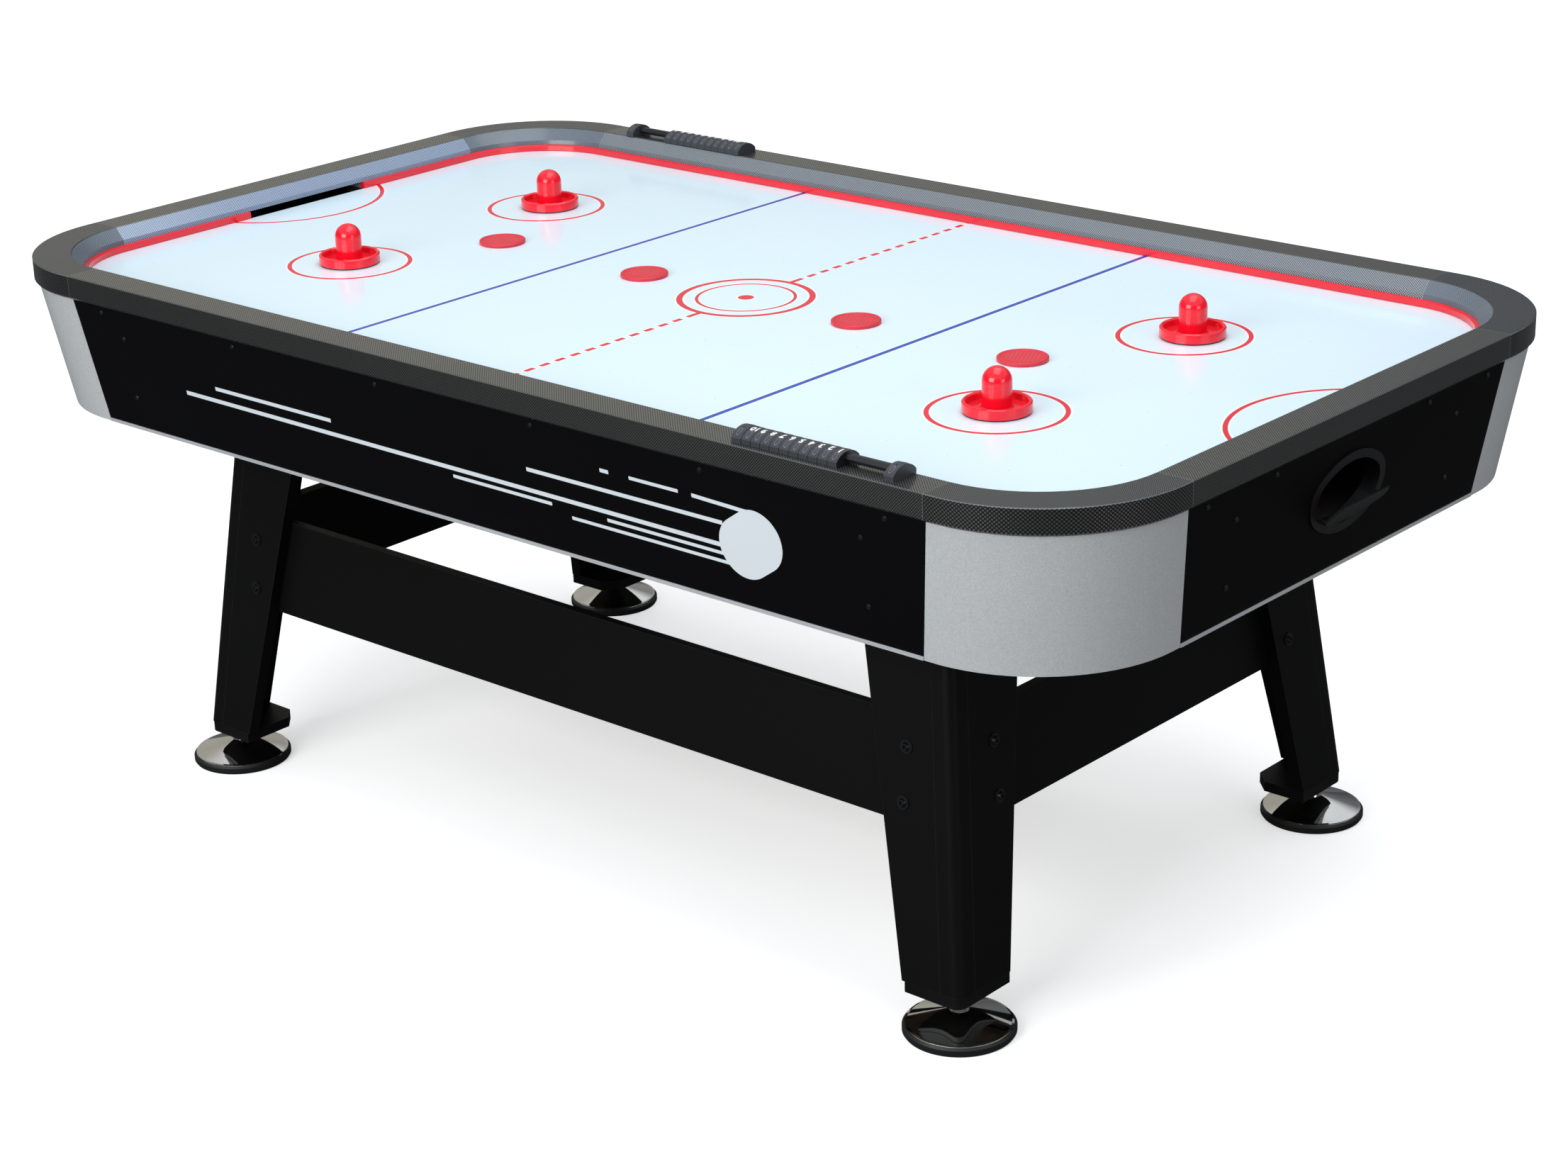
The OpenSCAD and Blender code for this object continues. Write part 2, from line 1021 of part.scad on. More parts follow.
fan_z = base_top + 6;
fan_h = 52;
scroll_r = fan_r + 18;
scroll_h = fan_h + 14;

module scroll_plan(grow) {
  circle(scroll_r + grow);
  translate([0, scroll_r - 78 - grow])
    square([scroll_r + 48, 78 + 2 * grow]);
}

module blower_housing() color(plastic)
  translate([0, 0, base_top])
    difference() {
      linear_extrude(scroll_h)
        scroll_plan(0);
      translate([0, 0, 3])
        linear_extrude(scroll_h - 6)
          scroll_plan(-3);
      translate([scroll_r + 30, scroll_r - 75, 3])
        cube([40, 72, scroll_h - 6]);
      translate([0, 0, -1])
        cylinder(r = intake_r - 4, h = 6);
      translate([0, 0, scroll_h - 5])
        cylinder(r = 14, h = 8);
    }

module blower_impeller() color([0.30, 0.31, 0.33])
  translate([0, 0, fan_z]) {
    difference() {
      cylinder(r = fan_r, h = 3);
      translate([0, 0, -1])
        cylinder(r = intake_r - 6, h = 6);
    }
    translate([0, 0, fan_h - 6])
      cylinder(r = fan_r, h = 3);
    for (i = [0 : 11])
      rotate(i * 30)
        translate([intake_r - 8, -1.5, 1])
          rotate(25)
            cube([25, 3, fan_h - 5]);
    translate([0, 0, fan_h - 28])
      cylinder(r = 12, h = 24);
    cylinder(r = 4, h = 90);
  }

module blower_motor() color([0.45, 0.46, 0.48])
  translate([0, 0, base_top + scroll_h + gap])
    difference() {
      union() {
        cylinder(r = 44, h = 4);
        cylinder(r = 38, h = 58);
        translate([0, 0, 58])
          cylinder(r1 = 38, r2 = 30, h = 5);
      }
      translate([0, 0, -1])
        cylinder(r = 4.06, h = 50);
    }

module intake_guard() color([0.13, 0.13, 0.14])
  translate([0, 0, base_z - 4 - gap])
    linear_extrude(4) {
      for (r = [22, 40, 58])
        difference() {
          circle(r);
          circle(r - 3);
        }
      difference() {
        circle(intake_r + 12);
        circle(intake_r + 2);
      }
      for (a = [0 : 60 : 300])
        rotate(a)
          translate([9, -1.5])
            square([intake_r - 5, 3]);
      circle(10);
    }

// mains inlet and switch moulding let into the far side panel
module power_inlet() color(plastic)
  on_side_panel(switch_x, switch_z)
    difference() {
      union() {
        translate([-28, gap, -18])
          cube([56, 2.6, 36]);
        translate([-23.6, -panel_t - 6, -14.6])
          cube([47.2, panel_t + 8, 29.2]);
      }
      translate([-20, -10, -10.5])
        cube([20, 20, 21]);
      translate([4, -12.2, -11])
        cube([16, 20, 22]);
    }

// rocker, drawn tipped to the off side
module power_switch() color([0.75, 0.08, 0.08])
  on_side_panel(switch_x + 12, switch_z)
    translate([0, -3, 0])
      rotate([8, 0, 0])
        rotate([90, 0, 90])
          translate([0, 0, -7.6])
            linear_extrude(15.2)
              polygon([
                [-6.5, -3], [-6.5, 3], [-1, 9.6], [5.6, 9.8],
                [7.6, 0], [5.6, -9.8], [-1, -9.6]
              ]);

// ---- node selection ----

playfield();
side_rails();
end_rails();
rail_corners();
cushion_strips();
side_panels();
end_panels();
corner_shells();
bottom_trims();
plenum_frame();
bottom_board();
goal_boxes();
puck_cups();
leg_boards();
leg_corner_posts();
leg_end_blocks();
long_stretchers();
short_stretchers();
leg_bolts();
panel_screws();
scorer_rods();
scorer_brackets();
blower_housing();
blower_motor();
blower_impeller();
intake_guard();
power_inlet();
power_switch();
translate([foot_x, -foot_y, 0]) foot();  // foot_near_right
translate([-foot_x, -foot_y, 0]) foot();  // foot_near_left
translate([foot_x, foot_y, 0]) foot();  // foot_far_right
translate([-foot_x, foot_y, 0]) foot();  // foot_far_left
mallet_at(1, -1);  // mallet_near_right
mallet_at(-1, -1);  // mallet_near_left
mallet_at(1, 1, 11.4, 4.1);  // mallet_far_right
mallet_at(-1, 1, 5.3, 4);  // mallet_far_left
puck_at(526.7, -11.2);  // puck_right_outer
puck_at(220.8, -7);  // puck_right_inner
puck_at(-209, 0);  // puck_left_inner
puck_at(-531.7, 10.5);  // puck_left_outer
near_bead(1);  // near_bead_1
near_bead(2);  // near_bead_2
near_bead(3);  // near_bead_3
near_bead(4);  // near_bead_4
near_bead(5);  // near_bead_5
near_bead(6);  // near_bead_6
near_bead(7);  // near_bead_7
near_bead(8);  // near_bead_8
near_bead(9);  // near_bead_9
near_bead(10);  // near_bead_10
far_bead(1);  // far_bead_1
far_bead(2);  // far_bead_2
far_bead(3);  // far_bead_3
far_bead(4);  // far_bead_4
far_bead(5);  // far_bead_5
far_bead(6);  // far_bead_6
far_bead(7);  // far_bead_7
far_bead(8);  // far_bead_8
far_bead(9);  // far_bead_9
far_bead(10);  // far_bead_10
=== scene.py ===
"""Looks for the air hockey table: finishes, printed lines, decals, numerals, light, camera."""

import json
import math

import bmesh
import bpy
from mathutils import Matrix, Vector


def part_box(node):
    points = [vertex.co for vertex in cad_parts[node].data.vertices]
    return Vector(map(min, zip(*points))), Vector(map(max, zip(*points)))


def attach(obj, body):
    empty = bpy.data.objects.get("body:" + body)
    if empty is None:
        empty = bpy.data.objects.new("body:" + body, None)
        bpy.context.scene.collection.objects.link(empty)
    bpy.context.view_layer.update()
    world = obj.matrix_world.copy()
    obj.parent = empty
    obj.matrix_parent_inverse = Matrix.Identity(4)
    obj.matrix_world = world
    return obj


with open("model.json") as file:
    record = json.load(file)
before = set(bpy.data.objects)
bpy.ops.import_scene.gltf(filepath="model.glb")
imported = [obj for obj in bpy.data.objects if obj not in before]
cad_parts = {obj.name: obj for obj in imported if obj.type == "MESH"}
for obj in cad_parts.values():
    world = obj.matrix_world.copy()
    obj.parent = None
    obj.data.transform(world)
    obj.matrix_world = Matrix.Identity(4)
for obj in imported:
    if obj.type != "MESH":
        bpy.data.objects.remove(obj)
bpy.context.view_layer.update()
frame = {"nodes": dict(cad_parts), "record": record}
nodes = frame["nodes"]
MM = 0.001

# ---- sizes, read off the frame ----

HALF_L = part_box("end_rails")[1].x
HALF_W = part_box("side_rails")[1].y
RAIL_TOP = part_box("side_rails")[1].z
FIELD_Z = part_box("playfield")[1].z
SEAM_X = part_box("side_rails")[1].x
SEAM_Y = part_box("end_rails")[1].y
CORNER_R = 215 * MM
CORNER_X = HALF_L - CORNER_R
CORNER_Y = HALF_W - CORNER_R
PANEL_LO, PANEL_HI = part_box("side_panels")
PANEL_INSET = 6 * MM  # a long panel's top edge, in from the rail's outer face
PANEL_SLOPE = 27.5 * MM / (PANEL_HI.z - PANEL_LO.z)
FACE_OFF = [(b + a) / 2 for a, b in zip(*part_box("mallet_near_right"))]


# ---- shader building ----


def linear(code):
    """A #RRGGBB colour as linear RGBA."""
    parts = [int(code[i : i + 2], 16) / 255 for i in (1, 3, 5)]
    return tuple(
        c / 12.92 if c <= 0.04045 else ((c + 0.055) / 1.055) ** 2.4 for c in parts
    ) + (1.0,)


def shade(colour, k):
    """The colour made k times as bright."""
    return tuple(min(1.0, c * k) for c in colour[:3]) + (1.0,)


class Val:
    """A number in a shader; arithmetic on it adds Math nodes."""

    def __init__(self, graph, socket):
        self.graph = graph
        self.socket = socket

    def __add__(self, other):
        return self.graph.math("ADD", self, other)

    def __sub__(self, other):
        return self.graph.math("SUBTRACT", self, other)

    def __rsub__(self, other):
        return self.graph.math("SUBTRACT", other, self)

    def __mul__(self, other):
        return self.graph.math("MULTIPLY", self, other)

    def __truediv__(self, other):
        return self.graph.math("DIVIDE", self, other)

    def __abs__(self):
        return self.graph.math("ABSOLUTE", self)

    def least(self, other):
        return self.graph.math("MINIMUM", self, other)

    def most(self, other):
        return self.graph.math("MAXIMUM", self, other)

    def clamp(self):
        return self.graph.math("ADD", self, 0.0, clamp=True)

    def inside(self, soft):
        """1 where this distance is below zero, 0 outside, blended over soft."""
        return self.graph.math("MULTIPLY_ADD", self, -1.0 / soft, 0.5, clamp=True)

    def spread(self, low, high):
        return self.graph.math("MULTIPLY_ADD", self, high - low, low)


class Graph:
    """One material: a Principled shader and the nodes that drive it."""

    def __init__(self, name, settings=None):
        self.material = bpy.data.materials.new(name)
        self.material.use_nodes = True
        self.tree = self.material.node_tree
        self.tree.nodes.clear()
        self.output = self.node("ShaderNodeOutputMaterial")
        self.shader = self.node("ShaderNodeBsdfPrincipled")
        self.tree.links.new(self.shader.outputs["BSDF"], self.output.inputs["Surface"])
        self.coordinates = self.node("ShaderNodeTexCoord")
        for key, value in (settings or {}).items():
            self.set(key, value)

    def node(self, kind):
        return self.tree.nodes.new(kind)

    def feed(self, socket, value):
        if isinstance(value, Val):
            value = value.socket
        if isinstance(value, bpy.types.NodeSocket):
            self.tree.links.new(value, socket)
        else:
            socket.default_value = value

    def set(self, key, value):
        self.feed(self.shader.inputs[key], value)

    def math(self, operation, *values, clamp=False):
        n = self.node("ShaderNodeMath")
        n.operation = operation
        n.use_clamp = clamp
        for socket, value in zip(n.inputs, values):
            self.feed(socket, value)
        return Val(self, n.outputs[0])

    def axes(self, space="Object"):
        n = self.node("ShaderNodeSeparateXYZ")
        self.feed(n.inputs[0], self.coordinates.outputs[space])
        return [Val(self, s) for s in n.outputs]

    def length(self, a, b):
        return self.math("SQRT", a * a + b * b)

    def noise(self, scale, detail=2.0, stretch=None):
        n = self.node("ShaderNodeTexNoise")
        n.inputs["Scale"].default_value = scale
        n.inputs["Detail"].default_value = detail
        place = self.coordinates.outputs["Object"]
        if stretch:
            mapping = self.node("ShaderNodeMapping")
            mapping.inputs["Scale"].default_value = stretch
            self.feed(mapping.inputs["Vector"], place)
            place = mapping.outputs[0]
        self.feed(n.inputs["Vector"], place)
        return Val(self, n.outputs["Fac"])

    def cells(self, scale):
        """A random tone for each small cell."""
        n = self.node("ShaderNodeTexVoronoi")
        n.inputs["Scale"].default_value = scale
        self.feed(n.inputs["Vector"], self.coordinates.outputs["Object"])
        split = self.node("ShaderNodeSeparateColor")
        self.feed(split.inputs[0], n.outputs["Color"])
        return Val(self, split.outputs[0])

    def worn(self, reach, gain=6.0):
        """1 along sharp edges, broken up by noise, 0 on open faces."""
        rounded = self.node("ShaderNodeBevel")
        rounded.samples = 4
        rounded.inputs["Radius"].default_value = reach
        true = self.node("ShaderNodeNewGeometry")
        dot = self.node("ShaderNodeVectorMath")
        dot.operation = "DOT_PRODUCT"
        self.feed(dot.inputs[0], rounded.outputs[0])
        self.feed(dot.inputs[1], true.outputs["Normal"])
        edge = (1.0 - Val(self, dot.outputs["Value"])) * gain
        return (edge * self.noise(35.0, 3.0).spread(0.4, 1.5)).clamp()

    def mix(self, share, first, second):
        n = self.node("ShaderNodeMix")
        n.data_type = "RGBA"
        self.feed(n.inputs["Factor"], share)
        self.feed(n.inputs["A"], first)
        self.feed(n.inputs["B"], second)
        return n.outputs[2]

    def blend(self, share, first, second):
        """first where share is 0, second where it is 1, for numbers."""
        return self.math("MULTIPLY_ADD", share, second - first, first)

    def relief(self, height, strength, depth, edge=0.0):
        """Bump from height, over edges rounded by edge metres."""
        n = self.node("ShaderNodeBump")
        n.inputs["Strength"].default_value = strength
        n.inputs["Distance"].default_value = depth
        self.feed(n.inputs["Height"], height)
        if edge:
            rounded = self.node("ShaderNodeBevel")
            rounded.samples = 4
            rounded.inputs["Radius"].default_value = edge
            self.feed(n.inputs["Normal"], rounded.outputs[0])
        self.set("Normal", n.outputs[0])


def near(value, centre, half, soft):
    """1 where value is within half of centre."""
    return (abs(value - centre) - half).inside(soft)


WORN_TONE = "#8E9194"


def moulded(
    name, colour, rough, grain=900.0, bump=0.12, drift=0.12, edge=0.0, wear=0.0, settings=None
):
    """Plastic, lacquer or laminate: tone drift, fine grain in gloss and relief, pale worn edges."""
    g = Graph(name, settings)
    tone = g.noise(6.0, 4.0)
    fine = g.noise(grain, 2.0)
    body = g.mix(tone, shade(colour, 1 - drift), shade(colour, 1 + drift))
    if wear:
        body = g.mix(g.worn(edge) * wear, body, linear(WORN_TONE))
    g.set("Base Color", body)
    g.set("Roughness", fine.spread(rough - 0.06, rough + 0.06))
    g.relief(fine, bump, 0.2 * MM, edge)
    return g


# ---- playing surface ----

HALF_LINE = 4.3 * MM  # half widths are of the lines as printed
BLUE_LINE_X = 348.5 * MM
RING_OUTER, RING_OUTER_HALF = 99.9 * MM, 4.7 * MM
RING_INNER, RING_INNER_HALF = 74.1 * MM, 2.5 * MM
CENTRE_DOT_R = 12.2 * MM
SPOT_R, CREASE_R, ARC_HALF = 94.2 * MM, 175.8 * MM, 3.5 * MM
CREASE_X = HALF_L + 1.8 * MM
STUB_MIDDLE, STUB_HALF = 116 * MM, 13.6 * MM  # red stub from the outer ring to the dashes
DASH_START, DASH_PITCH, DASH_HALF = 120.6 * MM, 30.4 * MM, 9 * MM
HALO = 2.6 * MM  # paler margin round each line
HOLE_PITCH, HOLE_R = 25 * MM, 0.55 * MM
PRINT_DEPTH = 0.8 * MM  # laminate over the board's core


def field_board():
    """White laminate with printed lines and air holes drawn as dots of painted shade, over a fibre
    core.
    """
    gloss = {"Coat Weight": 0.18, "Coat Roughness": 0.08, "Specular IOR Level": 0.3}
    g = Graph("field_board", gloss)
    x, y, z = g.axes()
    ax, ay = abs(x), abs(y)
    from_centre = g.length(x, y)
    from_spot = g.length(ax - FACE_OFF[0], ay - abs(FACE_OFF[1]))
    from_goal = g.length(ax - CREASE_X, y)
    step = (ay - DASH_START) / DASH_PITCH
    dash = abs(step - g.math("ROUND", step)) * DASH_PITCH - DASH_HALF
    dash = dash.most((DASH_START - DASH_HALF) - ay)
    stub = abs(ay - STUB_MIDDLE) - STUB_HALF
    line = (ax - HALF_LINE).most(dash.least(stub))
    red = line.least(abs(from_centre - RING_OUTER) - RING_OUTER_HALF)
    red = red.least(abs(from_centre - RING_INNER) - RING_INNER_HALF)
    red = red.least(from_centre - CENTRE_DOT_R)
    red = red.least(abs(from_spot - SPOT_R) - ARC_HALF)
    red = red.least(abs(from_goal - CREASE_R) - ARC_HALF)
    blue = abs(ax - BLUE_LINE_X) - HALF_LINE
    halo = (red.least(blue) - HALO).inside(1.2 * MM)
    hole_x = x / HOLE_PITCH
    hole_y = y / HOLE_PITCH
    hole = g.length(
        (hole_x - g.math("ROUND", hole_x)) * HOLE_PITCH,
        (hole_y - g.math("ROUND", hole_y)) * HOLE_PITCH,
    )
    hole = (hole - HOLE_R).inside(0.3 * MM)
    tone = g.noise(3.0, 3.0)
    board = g.mix(tone, linear("#DCF2FC"), linear("#E4F6FF"))
    board = g.mix(halo, board, linear("#F7FCFF"))
    # painted shade: the fine air holes are drawn as darker grey-blue dots
    board = g.mix(hole * 0.45, board, linear("#8DA3B4"))
    board = g.mix(blue.inside(0.5 * MM), board, linear("#1F52B6"))
    board = g.mix(red.inside(0.5 * MM), board, linear("#E22A3E"))
    in_core = (z - (FIELD_Z - PRINT_DEPTH)).inside(0.1 * MM)
    fibre = g.noise(700.0, 3.0)
    core_colour = g.mix(fibre, linear("#3A2D20"), linear("#4C3C2A"))
    g.set("Base Color", g.mix(in_core, board, core_colour))
    scuff = g.noise(60.0, 5.0, stretch=(0.35, 1.0, 1.0))
    g.set("Roughness", scuff.spread(0.10, 0.24))
    g.relief(g.noise(14.0, 2.0), 0.05, 0.3 * MM)
    return g.material


# ---- rails ----

CELL = 2.15 * MM  # side of one check on the straight rails
CORNER_CELL = 2.6 * MM  # on the upright face of a corner
CORNER_TOP_CELL = 1.7 * MM  # on the top of a corner
FLAT_IN = 20 * MM  # the flat top of a rail reaches further in than this
ARRIS = 1.2 * MM  # reach of the outer edge's painted highlight line on both faces
SEAM_HALF = 0.4 * MM
# painted reflection: thread and gap colours for the inner slopes, paler and bluer on the end rails,
# stand in for the room they reflect
SLOPE_THREAD_REFLECTION = {"x": "#A0A9B2", "y": "#B2C6E2", "corner": "#8B97A4"}
SLOPE_GAP_REFLECTION = {"x": "#1E242C", "y": "#3A485E", "corner": "#1F252E"}


def rail_wrap(name, run):
    """Carbon-look film: a fine light check on black under a gloss coat, laid along each rail, with
    painted reflection on the inner slopes and corner tops, painted shade on the upright face and a
    painted highlight along the outer edge.
    """
    coat = 0.4 if run == "corner" else 0.7
    g = Graph(name, {"Coat Weight": coat, "Coat Roughness": 0.12, "Specular IOR Level": 0.25})
    x, y, z = g.axes()
    dx = (abs(x) - CORNER_X).most(0.0)
    dy = (abs(y) - CORNER_Y).most(0.0)
    inset = CORNER_R - g.length(dx, dy)
    if run == "x":
        along, seam = x, near(abs(x), SEAM_X, SEAM_HALF, 0.2 * MM)
    elif run == "y":
        along, seam = y, near(abs(y), SEAM_Y, SEAM_HALF, 0.2 * MM)
    else:
        stub = (abs(x) - CORNER_X).least(0.0) - (abs(y) - CORNER_Y).least(0.0)
        along, seam = g.math("ARCTAN2", dx, dy) * (CORNER_R - FLAT_IN) + stub, None
    across = inset + (RAIL_TOP - z) * g.math("SIGN", inset - FLAT_IN)
    upright = (inset - ARRIS).inside(0.1 * MM)
    turns = math.pi / CELL
    if run == "corner":
        turns = g.blend(upright, math.pi / CORNER_TOP_CELL, math.pi / CORNER_CELL)
    warp = g.math("SINE", along * turns)
    weft = g.math("SINE", across * turns)
    check = warp * weft
    slope = (z - (RAIL_TOP - ARRIS)).inside(0.6 * MM) * (FLAT_IN - inset).inside(1.0 * MM)
    # the slope term widens the light threads on the inner slopes, part of the painted reflection
    # there
    light = g.math("MULTIPLY_ADD", check, 4.0, slope * 0.9 - 0.4, clamp=True)
    tone = g.noise(5.0, 3.0)
    thread = g.mix(tone, linear("#91918D"), linear("#A1A2A0"))
    if run == "corner":
        # painted reflection: the top of a corner is tinted blue-grey
        thread = g.mix((1.0 - upright) * 0.6, thread, linear("#7F8B95"))
    # painted shade: the thread on the upright outer face is darkened
    thread = g.mix(upright * 0.5, thread, linear("#34363A"))
    # painted reflection: the inner slopes take the paler, bluer thread and gap colours of their
    # rail run
    thread = g.mix(slope * 0.9, thread, linear(SLOPE_THREAD_REFLECTION[run]))
    film = g.mix(light, g.mix(slope, linear("#050506"), linear(SLOPE_GAP_REFLECTION[run])), thread)
    g.set("Metallic", light * (1.0 - slope * 0.75))
    g.set("Roughness", g.noise(700.0, 2.0).spread(0.3, 0.42) + slope * 0.1)
    # painted highlight: a pale line along the outer top edge, stronger on the corners
    arris_highlight = (inset - ARRIS).inside(0.3 * MM) * (RAIL_TOP - ARRIS - z).inside(0.3 * MM)
    film = g.mix(arris_highlight * (0.3 if run == "corner" else 0.1), film, linear("#A9ABAB"))
    if seam:
        film = g.mix(seam * 0.45, film, linear("#C9CCCC"))
    g.set("Base Color", film)
    g.relief(abs(check), 0.15, 0.12 * MM)
    return g.material


def cushion():
    """Gloss red rubber strip."""
    return moulded(
        "cushion", linear("#E81C2E"), 0.24, grain=500.0, bump=0.06, settings={"Coat Weight": 0.5}
    ).material


# ---- cabinet, legs, metal ----


def corner_shell():
    """Silver paint with fine flake."""
    g = Graph("corner_shell", {"Metallic": 0.12, "Coat Weight": 0.2, "Coat Roughness": 0.25})
    flake = g.cells(1400.0)
    cloud = g.noise(9.0, 3.0)
    base = g.mix(flake, linear("#B4B8B9"), linear("#DADEDF"))
    metal = g.mix(cloud * 0.5, base, linear("#C2C6C8"))
    g.set("Base Color", g.mix(g.worn(0.9 * MM), metal, linear("#F2F4F4")))
    g.set("Roughness", flake.spread(0.36, 0.52))
    g.relief(flake, 0.16, 0.1 * MM, 0.5 * MM)
    return g.material


def trim():
    """Drawn aluminium, streaked along its length."""
    g = Graph("trim", {"Metallic": 0.45})
    streak = g.noise(90.0, 4.0, stretch=(0.12, 0.12, 6.0))
    g.set("Base Color", g.mix(streak, linear("#C6C9CE"), linear("#F1F3F6")))
    g.set("Roughness", streak.spread(0.2, 0.34))
    g.relief(streak, 0.08, 0.1 * MM, 0.4 * MM)
    return g.material


def timber(name, dark, light, settings=None):
    """Sawn softwood: long grain with rings and a rough face."""
    g = Graph(name, settings)
    grain = g.noise(55.0, 6.0, stretch=(0.18, 1.0, 1.0))
    pore = g.noise(420.0, 3.0, stretch=(0.1, 1.0, 1.0))
    x, y, z = g.axes()
    ring = g.math("SINE", (grain * 26.0) + y * 90.0 + z * 70.0)
    colour = g.mix(ring.spread(0.35, 0.65), linear(dark), linear(light))
    g.set("Base Color", g.mix(pore * 0.35, colour, shade(linear(dark), 0.6)))
    g.set("Roughness", pore.spread(0.6, 0.85))
    g.relief(pore, 0.3, 0.3 * MM, 0.5 * MM)
    return g.material


def base_board(name, dark, light):
    """Hardboard: short fibre and a matt face."""
    g = Graph(name)
    fibre = g.noise(380.0, 4.0)
    fleck = g.cells(800.0)
    g.set("Base Color", g.mix(fibre, linear(dark), linear(light)))
    g.set("Roughness", fleck.spread(0.55, 0.75))
    g.relief(fibre, 0.25, 0.3 * MM, 0.5 * MM)
    return g.material


def fastener():
    """Blackened steel."""
    g = Graph("fastener", {"Metallic": 0.7})
    worn = g.noise(900.0, 3.0)
    g.set("Base Color", g.mix(worn, linear("#141416"), linear("#2A2B2E")))
    g.set("Roughness", worn.spread(0.28, 0.48))
    g.relief(worn, 0.12, 0.1 * MM, 0.4 * MM)
    return g.material


FOOT_R = (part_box("foot_near_right")[1].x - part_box("foot_near_right")[0].x) / 2
FOOT_X = abs(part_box("foot_near_right")[1].x) - FOOT_R
FOOT_Y = abs(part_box("foot_near_right")[0].y) - FOOT_R
DISH_R = FOOT_R - 3.9 * MM  # rubber shows outside this radius
DISH_EDGE_Z, DISH_EDGE_R, DISH_RISE = 9.6 * MM, 62 * MM, 0.175
STUD_R, STUD_Z, THREAD_PITCH = 6.4 * MM, 40 * MM, 1.5 * MM


def foot():
    """Polished dish, collar and stud over a black rubber ring."""
    g = Graph("foot")
    x, y, z = g.axes()
    radius = g.length(abs(x) - FOOT_X, abs(y) - FOOT_Y)
    rubber = (DISH_R - radius).inside(0.2 * MM)
    low = (z - DISH_EDGE_Z - (radius - DISH_EDGE_R) * DISH_RISE).inside(0.3 * MM)
    rubber = rubber.most(low)
    fine = g.noise(1200.0, 2.0)
    smear = g.noise(25.0, 4.0)
    chrome = g.mix(smear, linear("#D9D6D0"), linear("#F2F1EE"))
    black = g.mix(fine, linear("#08090B"), linear("#121317"))
    g.set("Base Color", g.mix(rubber, chrome, black))
    g.set("Metallic", 1.0 - rubber)
    g.set("Roughness", g.math("MULTIPLY_ADD", rubber, 0.42, smear.spread(0.03, 0.09)))
    thread = g.math("SINE", z * (math.tau / THREAD_PITCH))
    on_stud = (radius - STUD_R).inside(0.1 * MM) * (STUD_Z - z).inside(0.1 * MM)
    g.relief(thread * on_stud + fine * rubber * 0.3, 0.5, 0.4 * MM)
    return g.material


# ---- loose parts ----

FELT_H = 1.6 * MM


def mallet():
    """Gloss red plastic over a ring of black felt."""
    depth = {"Subsurface Weight": 0.04, "Subsurface Scale": 0.004}
    gloss = {"Coat Weight": 0.4, "Coat Roughness": 0.06, "Specular IOR Level": 0.35}
    g = Graph("mallet", {**gloss, **depth})
    x, y, z = g.axes()
    felt = (z - (FIELD_Z + FELT_H)).inside(0.1 * MM)
    tone = g.noise(30.0, 3.0)
    fuzz = g.noise(2400.0, 3.0)
    scratch = g.noise(160.0, 6.0, stretch=(1.0, 1.0, 3.0))
    red = g.mix(tone, linear("#E80826"), linear("#F4162F"))
    g.set("Base Color", g.mix(felt, red, linear("#111113")))
    g.set("Roughness", g.math("MULTIPLY_ADD", felt, 0.6, scratch.spread(0.14, 0.26)))
    g.relief(fuzz * felt + scratch * 0.1, 0.25, 0.3 * MM)
    return g.material


DOT_PITCH, DOT_R, DOTS_R = 6.2 * MM, 1.25 * MM, 25 * MM


def puck():
    """Satin red plastic with a field of small raised dots inside the rim."""
    g = Graph("puck")
    low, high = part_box("puck_right_inner")
    size = high - low
    gx, gy = g.axes("Generated")[:2]
    x = (gx - 0.5) * size.x
    y = (gy - 0.5) * size.y
    radius = g.length(x, y)
    row = y / DOT_PITCH
    nearest = g.math("ROUND", row)
    shift = g.math("PINGPONG", nearest * 0.5, 0.5)
    column = x / DOT_PITCH + shift
    dot = g.length(
        (column - g.math("ROUND", column)) * DOT_PITCH, (row - nearest) * DOT_PITCH
    )
    dots = (dot - DOT_R).inside(0.8 * MM) * (radius - DOTS_R).inside(0.5 * MM)
    tone = g.noise(70.0, 3.0)
    fine = g.noise(1500.0, 2.0)
    red = g.mix(tone, linear("#CE2233"), linear("#DA3040"))
    g.set("Base Color", g.mix(dots * 0.34, red, linear("#F08A90")))
    g.set("Roughness", fine.spread(0.34, 0.5))
    g.relief(dots + fine * 0.15, 0.6, 0.5 * MM)
    return g.material


JOINT_HALF = 0.55 * MM


def bead():
    """Charcoal plastic, with painted shade at each end of a bead where it meets the next."""
    g = moulded("bead", linear("#34373D"), 0.4, grain=1600.0, bump=0.22)
    low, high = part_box("near_bead_1")
    along = abs(g.axes("Generated")[0] - 0.5) * (high.x - low.x)
    joint_shade = ((high.x - low.x) / 2 - JOINT_HALF - along).inside(0.3 * MM)
    body = g.shader.inputs["Base Color"].links[0].from_socket
    # painted shade: near-black at the ends of each bead, standing in for the shade in the groove
    # between beads
    g.set("Base Color", g.mix(joint_shade * 0.85, body, linear("#050506")))
    return g.material


def ink(name, colour):
    """Even printing ink."""
    return moulded(name, linear(colour), 0.4, grain=1500.0, bump=0.05, drift=0.03).material


